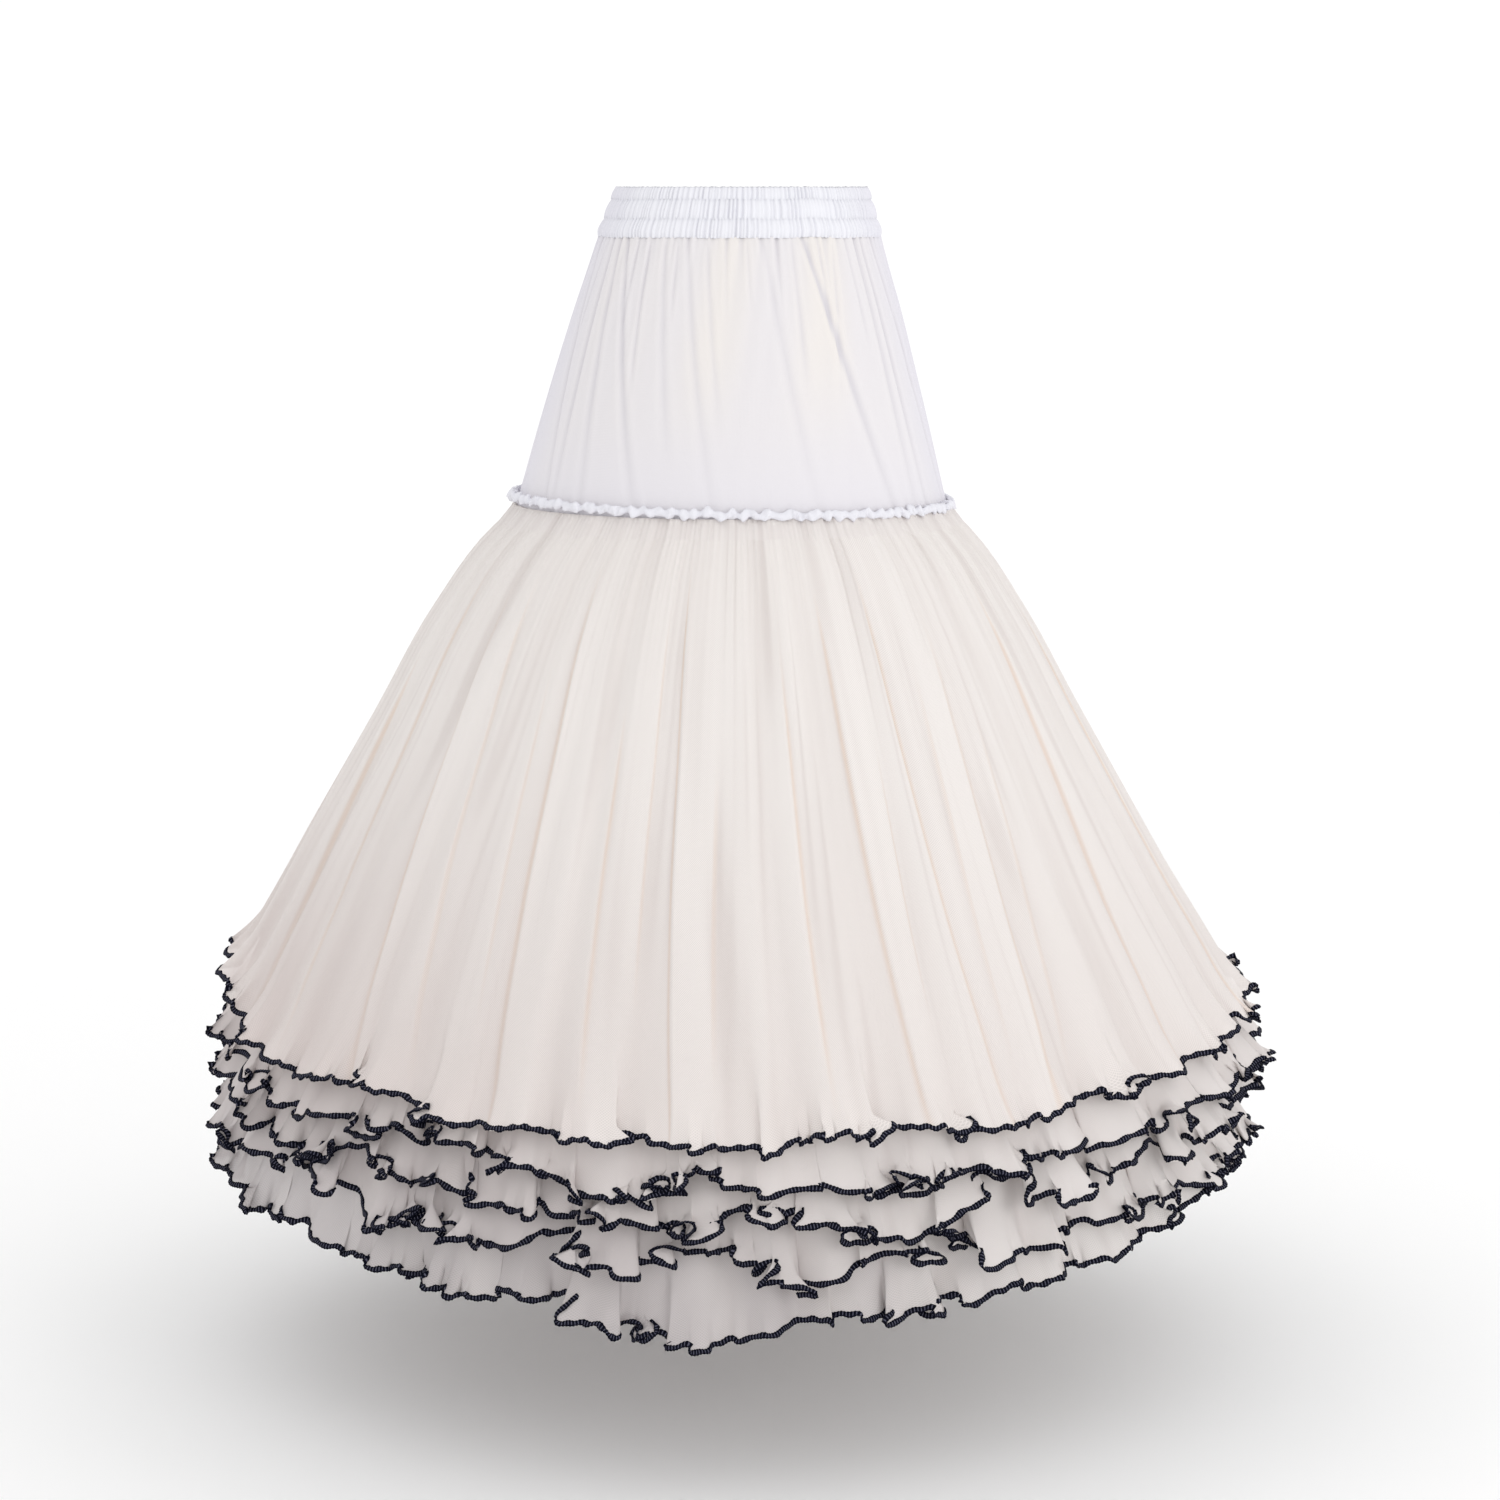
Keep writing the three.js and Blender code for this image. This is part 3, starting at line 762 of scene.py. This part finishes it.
class PETTICOAT_OT_seam_ruffle(bpy.types.Operator):
    """Make the frill of serged seam allowance that stands out where the yoke meets the tulle"""

    bl_idname = "petticoat.seam_ruffle"
    bl_label = "Seam ruffle"

    def execute(self, context):
        sizes = context.scene.petticoat_white
        angle = even_angles(FRILL_COLUMNS)[None, :]
        turn = (np.arange(FRILL_SECTION) * TURN / FRILL_SECTION)[:, None]
        lumps = np.tanh(1.3 * uneven(angle, 50, 150, 61))
        twist = 1.5 * uneven(angle, 60, 160, 62)
        wander = uneven(angle, 24, 110, 63)
        stitches = np.sin(angle * FRILL_STITCHES + 2 * turn)
        swell = 0.8 + 0.32 * lumps + 0.05 * stitches
        up = sizes.frill_half_height * swell * np.sin(turn + 0.35 * twist) + 1.5 * MM * wander
        out = FRILL_HALF_DEPTH * swell * np.cos(turn + 0.9 * twist) + 1.3 * MM * uneven(angle, 60, 120, 64)
        points = place(YOKE_OUTLINE, angle, FRILL_DROP - up, FRILL_OFF_YOKE + out)
        points[..., 2] -= FRILL_LEAN * np.sin(angle)
        points = np.concatenate([points, points[:1]])
        # Relief paints shade: darker on the side of the frill that faces the yoke, and between its lumps and
        # stitches.
        relief = np.clip(0.5 + 0.35 * lumps + 0.25 * np.cos(turn) + 0.25 * stitches, 0, 1)
        relief = np.concatenate([relief, relief[:1]])
        around = np.linspace(0, FRILL_CUT[0], FRILL_COLUMNS + 1)
        along = np.linspace(0, FRILL_CUT[1], FRILL_SECTION + 1)
        material = white_cloth_material("frill_cloth", sizes.band_colour, sizes.cool_shade_colour, **FRILL_CLOTH)
        piece = make_cloth(
            "seam_frill", points[::-1], flat_cloth(around, along), material, True, relief[::-1], 0.3)
        dress(piece, "waistband_cloth", "seam_ruffle")
        return {"FINISHED"}


TULLE_COLUMNS = (1700, 1600, 1600, 1600, 1420)
TULLE_CUT_ROUND = 4.0
CUT_TO_DROP = 1.15
GATHERED_SHARE = 0.72
SEAM_FOLD_DEPTH = 0.0014
OPENED_BY = 0.81
STEP_AT_SEAM = 0.0026
STEP_AT_HEM = 0.0105
HEM_RADIUS = 0.5
HEM_FLARE = 0.012
HEM_FLARE_LENGTH = 0.05
CREASE_LENGTH = 0.5


def front_and_back(rows):
    """The rows of a table across the front, and again mirrored across the back."""
    for angle, *sizes in rows:
        yield math.radians(angle), *sizes
        yield math.pi - 1.06 * math.radians(angle), *sizes


def spans(angle, middle, half_width):
    """How many half widths, in millimetres along the hem, each angle lies from a place."""
    return away_from(angle, middle) * HEM_RADIUS / (half_width * MM)


def tulle_angles(layer):
    """The columns' angles, closer together where the hem is bunched or folded."""
    fine = np.linspace(-math.pi, math.pi, 40001)
    density = np.ones_like(fine)
    for middle, half_width in front_and_back(TANGLES[layer]):
        density = np.maximum(density, 1 + 2.6 * np.exp(-(spans(fine, middle, half_width) ** 4)))
    for middle, half_width, _ in front_and_back(TUCKS[layer]):
        density = np.maximum(density, 1 + 0.7 * np.exp(-(spans(fine, middle, half_width) ** 4) / 8))
    total = np.concatenate([[0], np.cumsum((density[1:] + density[:-1]) / 2)])
    count = TULLE_COLUMNS[layer]
    return np.interp(np.arange(count) / count, total / total[-1], fine)


def hem_line(layer, angle):
    """The drop of a layer's hem before its small waves."""
    at = np.radians(LAYERS[layer]["at"])
    hem = np.array(LAYERS[layer]["hem"]) * MM
    back = math.pi - at[-2:0:-1]
    around = np.concatenate([at, back])
    drops = np.concatenate([hem, hem[-2:0:-1] + 0.004 * np.sin(9 * back)])
    return through(
        (angle - at[0]) % TURN + at[0],
        np.concatenate([around[-2:] - TURN, around, around[:2] + TURN]),
        np.concatenate([drops[-2:], drops, drops[:2]]))


def tulle_rows(layer):
    """Shares of the way from the seam to the hem: close under the seam, in view, and closest at the hem."""
    if layer == 0:
        body = np.linspace(0, 1, 26) ** 1.1 * 0.9
    else:
        body = np.concatenate([np.linspace(0, 0.7, 7), np.linspace(0.75, 0.89, 5)])
    return np.concatenate([body, 1 - 0.095 * (1 - np.linspace(0, 1, 15)[1:]) ** 1.25])


def fading(above, length, power):
    """1 at the hem, and 0 from so far above it."""
    return np.clip(1 - above / length, 0, 1) ** power


def bands(angle, drop, seed):
    """Long soft stripes that start and end at uneven heights, about from -1 to 1."""
    total = 0
    for number, middle in enumerate(np.linspace(0.3, 1.0, 8)):
        near = np.exp(-(((drop - middle) / 0.1) ** 2))
        total = total + near * uneven(angle, 14 + 2 * number, 66 - 3 * number, seed + number)
    return total


def thin_creases(angle, drop, opened):
    """Where narrow creases run down, from 0 to 1: many under the seam, fewer and thinner lower down."""
    many = uneven(angle, 50, 120, 73) * (1 - opened) + uneven(angle, 30, 70, 74) * opened
    return np.exp(-((many / (0.3 - 0.14 * opened)) ** 2)) * np.clip(0.3 + 0.9 * bands(angle, drop, 300), 0, 1)


def duskiness(layer, angle, drop, stripes):
    """How much painted shade a layer takes, from 0 to 1: low down, and most of all on the side away from the
    light.
    """
    unlit = smooth(-np.sin(angle), -0.2 * layer, 0.9 - 0.175 * layer)
    dusk = 0.3 - 0.05 * layer + (0.55 + 0.09 * layer) * unlit
    return np.clip(smooth(drop, 0.45, 0.85) * dusk * (1 + 0.3 * stripes), 0, 1)


def tulle_surface(layer, sizes, hem):
    """One layer's points from the seam down to its hem, and for each point how high it stands on its folds,
    which paints light on the ridges and shade in the valleys, how dusky it is in painted shade, and how warm."""
    angle = tulle_angles(layer)[None, :]
    share = tulle_rows(layer)[:, None]
    bottom = hem_line(layer, angle)
    drop = TULLE_TOP + share * (bottom - TULLE_TOP)
    opened = smooth(drop, TULLE_TOP, OPENED_BY)
    drift = 0.03 * uneven(angle, 2, 9, 70) * (1 - opened)
    strength = 0.7 + 0.3 * uneven(angle, 3, 11, 71)
    if layer == 0:
        angle = along_creases(angle, drop)
    folds = fold_heights(angle + drift)
    depth = SEAM_FOLD_DEPTH + (sizes.fold_depth - SEAM_FOLD_DEPTH) * opened
    lift = depth * strength * (folds - 1)
    stripes = bands(angle, drop, 200 + 10 * layer)
    lift += (1.5 if layer == 0 else 0.4 + 1.1 * opened) * MM * smooth(share, 0.02, 0.3) * stripes
    lines = thin_creases(angle, drop, opened)
    lift -= 0.6 * MM * lines * (1 - 0.5 * opened)
    gathers = np.tanh(2 * uneven(angle, 150, 330, 72)) * np.exp(-(drop - TULLE_TOP) / 0.05)
    lift += sizes.gather_depth * gathers
    folded, edges = tulle_creases(angle, drop) if layer == 0 else (0, 0)
    lift += 0.42 * MM * folded
    parted = 0.2 + 0.8 * smooth(drop, TULLE_TOP, TULLE_TOP + 0.012)
    lift -= layer * (STEP_AT_SEAM * parted + (STEP_AT_HEM - STEP_AT_SEAM) * opened)
    above = bottom - drop
    lift += HEM_FLARE * fading(above, HEM_FLARE_LENGTH, 2) * (1 + 0.4 * folds)
    points = place(TULLE_OUTLINE, angle, drop, lift)
    points[..., 0] += LAYERS[layer]["shift"] * opened
    points += hem_waves(layer, angle, above, hem)
    fine = 0.12 * np.exp(-(drop - TULLE_TOP) / 0.2) * np.tanh(1.5 * uneven(angle, 120, 260, 76))
    # Painted light and shade: lighter on the folds, the stripes, the laid folds and the fine gathers under the
    # seam, darker in the thin creases.
    relief = 0.62 + 0.2 * folds * opened + 0.16 * stripes + fine - 0.5 * lines + 0.075 * folded
    return points, np.clip(relief, 0, 1), duskiness(layer, angle, drop, stripes), np.clip(edges, 0, 1)


def along_creases(angle, drop):
    """Turns each column aside on its way up from the hem, so that it runs along the creases near it."""
    order = np.argsort(np.array(TULLE_CREASES["at_hem"]) % 360)
    at_hem = np.radians(np.array(TULLE_CREASES["at_hem"]) % 360)[order]
    aside = away_from(np.radians(np.array(TULLE_CREASES["at_seam"])[order]), at_hem)
    share = np.clip((drop - TULLE_TOP) / CREASE_LENGTH, 0, 1)
    return angle + (1 - share) * np.interp(angle % TURN, at_hem, aside, period=TURN)


def tulle_creases(angle, drop):
    """The long folds that stand out in the outer layer: their height in millimetres, and where their edges
    show warm through the layers that lie on each other there."""
    share = np.clip((drop - TULLE_TOP) / CREASE_LENGTH, 0, 1)
    folded = edges = 0
    for number, (at_seam, at_hem, start, end, half_width, depth) in enumerate(zip(*TULLE_CREASES.values())):
        middle = np.radians(at_seam + (at_hem - at_seam) * share)
        width = 1.5 * half_width * MM * (0.35 + 0.65 * share) / (0.22 + 0.27 * share)
        fade = smooth(drop, start, start + 0.09) * (1 - smooth(drop, end - 0.1, end))
        away = away_from(angle, middle) / width * (1 if number % 3 else -1)
        folded = folded + depth * fade * laid_fold(away, 0.07)
        edges = edges + depth / 4 * fade * np.exp(-((away - 0.08) / 0.16) ** 2)
    return folded, edges


HEM_WAVES = 98


def scallops(layer, angle, above, sizes):
    """Soft waves along a hem: how far they move it out, sideways and up."""
    lively = LAYERS[layer]["lively"] * np.clip(0.75 + 0.6 * uneven(angle, 7, 34, 100 + layer), 0.1, 1.9)
    phase = HEM_WAVES * angle + 4 * uneven(angle, 5, 22, 80 + layer) + 1.5 * uneven(angle, 23, 60, 90 + layer)
    near = fading(above, 0.04, 1.6) * lively
    out = near * sizes.wave_out * np.sin(phase)
    side = near * sizes.wave_side * np.sin(2 * phase + 0.5)
    up = near * sizes.wave_up * (np.sin(phase + 1.1) + 0.4 * np.sin(2 * phase))
    uplift = 3.5 * MM * LAYERS[layer]["lively"] * uneven(angle, 16, 44, 130 + layer)
    return out, side, up + fading(above, 0.07, 1.2) * uplift


def tucks(layer, angle, above):
    """Folds of a hem over itself: how far they move it out, sideways and up."""
    near = fading(above, 0.085, 1.3) * MM
    out = side = up = 0
    for middle, half_width, reach in front_and_back(TUCKS[layer]):
        away = spans(angle, middle, half_width)
        both = reach * near * (np.exp(-((away + 0.5) ** 2)) - np.exp(-((away - 0.5) ** 2)))
        out = out + 0.9 * both
        side = side - abs(reach) * near * 2.3 * away * np.exp(-(away**2))
        up = up - 0.5 * both
    return out, side, up


def tangles(layer, angle, above, sizes):
    """Bunches of tight loops along a hem: how far they move it out, sideways and up."""
    places = front_and_back(TANGLES[layer])
    bunched = sum(np.exp(-(spans(angle, middle, half_width) ** 4)) for middle, half_width in places)
    near = (fading(above, 0.014, 1.2) + 0.05 * fading(above, 0.05, 1.5)) * np.minimum(bunched, 1)
    loops = TURN * HEM_RADIUS * angle / sizes.loop + 2.5 * uneven(angle, 50, 180, 140 + layer)
    reach = near * sizes.loop_reach * (1 + 0.4 * uneven(angle, 60, 160, 150 + layer))
    out = reach * 0.5 * np.sin(loops) + 3 * MM * near
    side = reach * (np.sin(0.83 * loops + 1) + 0.9 * np.sin(0.31 * loops + 2.2))
    up = reach * 0.75 * np.sin(0.59 * loops + 2 * uneven(angle, 30, 90, 160 + layer))
    return out, side, up


def hem_waves(layer, angle, above, sizes):
    """How the hem's waves, tucks and tangles together move the cloth near it."""
    waves, loops = scallops(layer, angle, above, sizes), tangles(layer, angle, above, sizes)
    out, side, up = (sum(parts) for parts in zip(waves, tucks(layer, angle, above), loops))
    across = out * np.sin(angle) + side * np.cos(angle)
    deep = -out * np.cos(angle) + side * np.sin(angle)
    return np.stack([across, deep, up], axis=-1)


def shade_between(first, second, share):
    return tuple(a + (b - a) * share for a, b in zip(first, second))


class PETTICOAT_OT_tulle(bpy.types.Operator):
    """Make the five layers of tulle and the serging along their hems"""

    bl_idname = "petticoat.tulle"
    bl_label = "Tulle and hems"

    def execute(self, context):
        sizes = context.scene.petticoat_tulle
        hem = context.scene.petticoat_hem
        thread = thread_material("serging_thread", hem.thread_colour, hem.edge_colour)
        for layer, kind in enumerate(LAYERS):
            points, relief, dusk, warm = tulle_surface(layer, sizes, hem)
            material = tulle_material(
                f"tulle_{layer + 1}",
                # Painted shade of the hollow, mixed into each layer's ridge, valley and dusk colours by its
                # shares.
                shade_between(sizes.ridge_colour, sizes.inner_colour, kind["inner"]),
                shade_between(sizes.valley_colour, sizes.inner_colour, kind["inner"]),
                shade_between(sizes.dusk_colour, sizes.inner_colour, kind["inner_dusk"]),
                sizes.warm_colour,
                sizes.net_pitch,
                sizes.cover if kind["see_through"] else 1)
            node = f"tulle_layer_{layer + 1}"
            length = CUT_TO_DROP * (max(kind["hem"]) * MM - TULLE_TOP)
            around = (np.append(tulle_angles(layer), math.pi) / TURN + 0.5) * TULLE_CUT_ROUND
            cut = flat_cloth(around, tulle_rows(layer) * length)
            piece = make_cloth(f"{node}_net", points, cut, material, True, relief, dusk, warm)
            dress(piece, "tulle", node)
            edge = serging(f"hem_thread_{layer + 1}", points, hem, thread)
            dress(edge, "hem_thread")
            GATHERED_SHARE * TULLE_CUT_ROUND * length
        return {"FINISHED"}


THREAD_SECTION = 6
KNOT_SEED = 12


def unit(vectors):
    return vectors / np.maximum(np.linalg.norm(vectors, axis=-1, keepdims=True), 1e-9)


def serging(name, points, sizes, material):
    """The serged edge: a flat rope of stitches along the hem, with a ridge for each stitch."""
    edge = points[-1]
    upwards = unit(points[-3] - points[-1])
    gaps = np.linalg.norm(np.roll(edge, -1, axis=0) - edge, axis=1)
    total = np.concatenate([[0], np.cumsum(gaps)])
    rings = 2 * int(total[-1] / sizes.stitch)
    at = np.arange(rings) * total[-1] / rings

    def along_edge(values):
        closed = np.concatenate([values, values[:1]])
        return np.stack([np.interp(at, total, closed[:, axis]) for axis in range(3)], axis=-1)

    middle, up = along_edge(edge), unit(along_edge(upwards))
    middle = (np.roll(middle, 1, axis=0) + 2 * middle + np.roll(middle, -1, axis=0)) / 4
    ahead = unit(np.roll(middle, -1, axis=0) - np.roll(middle, 1, axis=0))
    face = unit(np.cross(up, ahead))
    up = np.cross(ahead, face)
    raised = (np.arange(rings) % 2)[None, :, None]
    along_turn = np.arange(rings) * TURN / rings
    few = rings // 12
    knots = uneven(along_turn, few, few + 90, KNOT_SEED) + uneven(along_turn, 300, 420, rings)
    swell = 0.82 + 0.2 * raised + 0.2 * np.clip(knots, -0.9, 2.4)[None, :, None]
    middle = middle + MM * up * uneven(along_turn, 200, 420, rings + 1)[:, None]
    turn = (np.arange(THREAD_SECTION) * TURN / THREAD_SECTION)[:, None, None]
    section = middle + up * (0.3 * sizes.width) + swell * (
        up * (np.cos(turn) * sizes.width / 2) + face * (np.sin(turn) * sizes.thickness / 2))
    section = np.concatenate([section, section[:1]])
    rails = np.abs(np.cos(turn)) > 0.8
    relief = np.maximum(raised, rails)[..., 0].astype(float)
    relief = np.concatenate([relief, relief[:1]])
    around = np.append(at, total[-1])
    along = np.linspace(0, 2 * sizes.width, THREAD_SECTION + 1)
    return make_cloth(name, section, flat_cloth(around, along), material, True, relief)


LIGHTS = (
    {"name": "key", "place": (2.4, -3.0, 0.2), "size": 1.6, "power": 20},
)
WORLD_STRENGTH = 1.04
FLOOR_REACH = 3.0
FLOOR_LINES = 15


def add_light(name, place, size, power):
    """A soft square light that faces the middle of the skirt."""
    data = bpy.data.lights.new(name, "AREA")
    data.size = size
    data.energy = power
    light = bpy.data.objects.new(name, data)
    light.location = place
    aim = light.location.copy()
    aim.z += 0.5
    light.rotation_euler = aim.to_track_quat("Z", "Y").to_euler()
    bpy.context.scene.collection.objects.link(light)


class PETTICOAT_OT_stage(bpy.types.Operator):
    """Make the camera, the pale floor and the soft light"""

    bl_idname = "petticoat.stage"
    bl_label = "Stage"

    def execute(self, context):
        sizes = context.scene.petticoat_stage
        camera_data = bpy.data.cameras.new("camera")
        camera_data.lens = sizes.lens
        camera = bpy.data.objects.new("camera", camera_data)
        camera.location = (sizes.aside, -sizes.distance, 0)
        camera.rotation_euler = (QUARTER - sizes.tilt, 0, 0)
        context.scene.collection.objects.link(camera)
        context.scene.camera = camera
        for light in LIGHTS:
            add_light(**light)
        world = bpy.data.worlds.new("studio")
        world.use_nodes = True
        background = world.node_tree.nodes["Background"]
        background.inputs["Color"].default_value = (1, 1, 1, 1)
        background.inputs["Strength"].default_value = WORLD_STRENGTH
        context.scene.world = world
        context.scene.view_settings.view_transform = "Standard"
        level = CAD_BOX[0][2] - sizes.floor_below_hem
        steps = np.linspace(-FLOOR_REACH, FLOOR_REACH, FLOOR_LINES)
        points = np.stack(np.broadcast_arrays(steps[None, :], -steps[:, None], level), axis=-1)
        floor = make_cloth(
            "floor", points, flat_cloth(steps, steps), floor_material(sizes.floor_colour), False, 0.5)
        return {"FINISHED"}


OPERATORS = (
    PETTICOAT_OT_waistband,
    PETTICOAT_OT_yoke,
    PETTICOAT_OT_seam_ruffle,
    PETTICOAT_OT_tulle,
    PETTICOAT_OT_stage,
)


class PETTICOAT_PT_panel(bpy.types.Panel):
    """Lists the petticoat's pieces and sizes"""

    bl_label = "Petticoat"
    bl_idname = "PETTICOAT_PT_panel"
    bl_space_type = "VIEW_3D"
    bl_region_type = "UI"
    bl_category = "Petticoat"

    def draw(self, context):
        for operator in OPERATORS:
            self.layout.operator(operator.bl_idname)
        for group in GROUPS:
            settings = getattr(context.scene, group)
            for name in settings.bl_rna.properties.keys():
                if name not in ("rna_type", "name"):
                    self.layout.prop(settings, name)


def register():
    for group in GROUPS.values():
        bpy.utils.register_class(group)
    for name, group in GROUPS.items():
        setattr(bpy.types.Scene, name, bpy.props.PointerProperty(type=group))
    for operator in OPERATORS:
        bpy.utils.register_class(operator)
    bpy.utils.register_class(PETTICOAT_PT_panel)


def unregister():
    bpy.utils.unregister_class(PETTICOAT_PT_panel)
    for operator in OPERATORS:
        bpy.utils.unregister_class(operator)
    for name, group in GROUPS.items():
        delattr(bpy.types.Scene, name)
        bpy.utils.unregister_class(group)


def main():
    register()
    bpy.ops.petticoat.stage()
    bpy.ops.petticoat.waistband()
    bpy.ops.petticoat.yoke()
    bpy.ops.petticoat.seam_ruffle()
    bpy.ops.petticoat.tulle()


if __name__ == "__main__":
    main()
